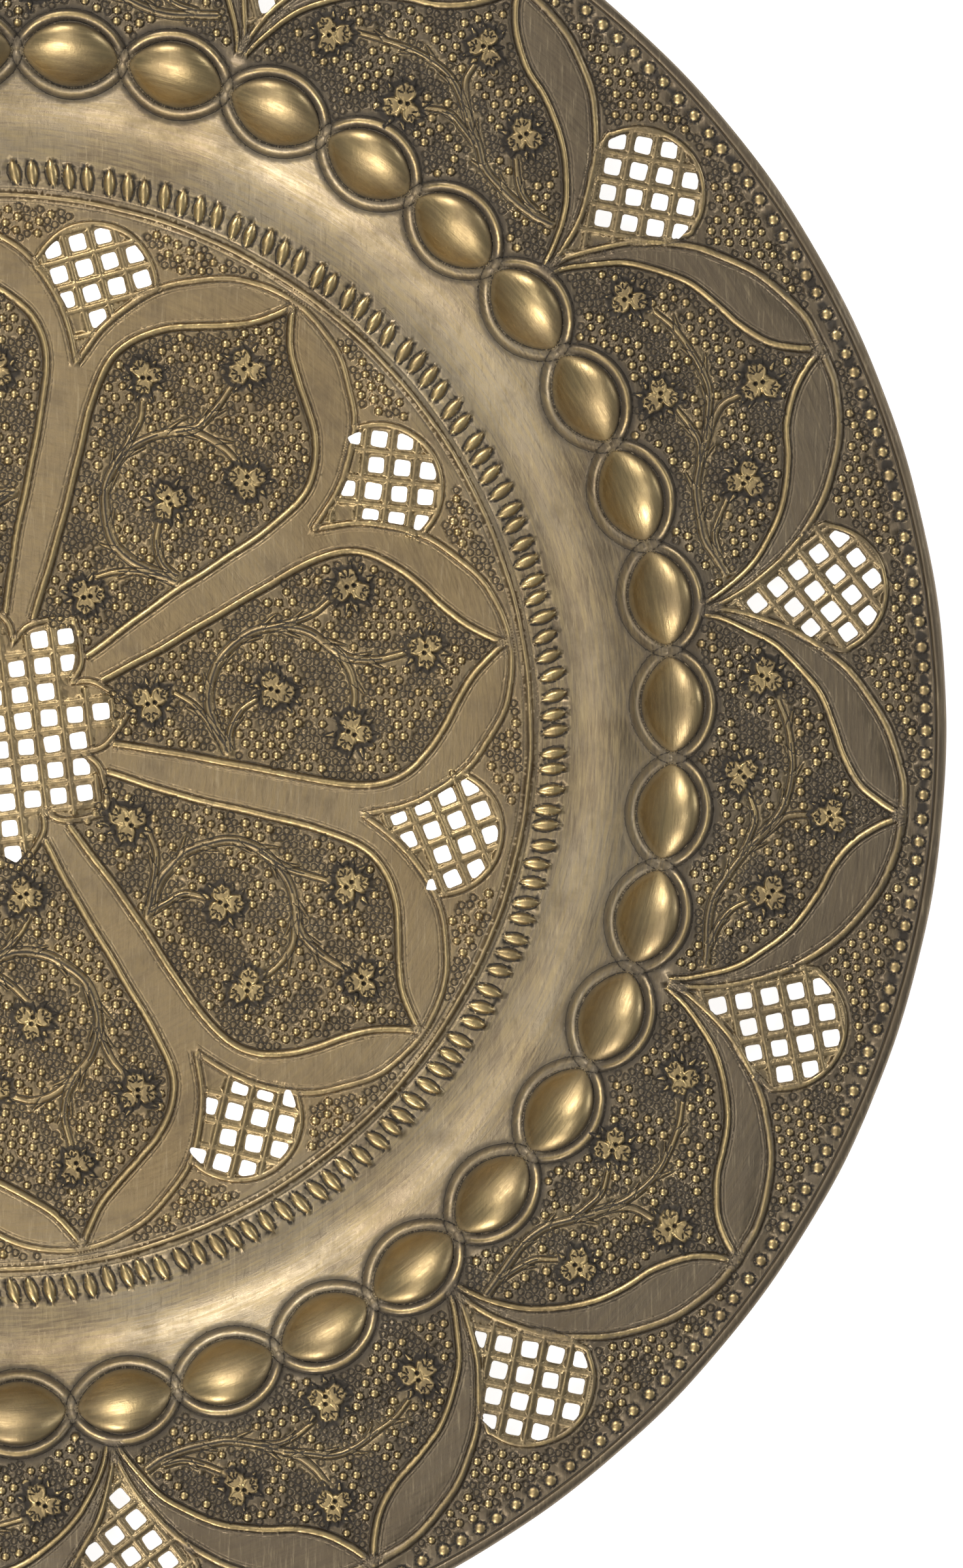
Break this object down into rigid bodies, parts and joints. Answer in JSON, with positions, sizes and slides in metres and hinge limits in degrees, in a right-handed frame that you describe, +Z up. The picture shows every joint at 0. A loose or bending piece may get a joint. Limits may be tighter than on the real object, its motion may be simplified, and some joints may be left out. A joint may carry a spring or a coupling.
{
  "type": "serving tray",
  "caption": "Round dished serving tray of raised, chased and pierced brass sheet with a rolled, wired edge.",
  "frame": {"origin": "on the tray's axis, in the plane of the floor's underside", "axes": "+Z up out of the tray, +X and +Y in the plane of the rim"},
  "size_m": [0.58, 0.58, 0.0223],
  "materials": {
    "brass_sheet": "aged hand-worked brass, dark patina in the recesses, worn bright on the high points",
    "wire": "dull drawn wire"
  },
  "bodies": {
    "root": {"tray_sheet": "brass_sheet", "rim_wire": "wire"}
  },
  "joints": []
}
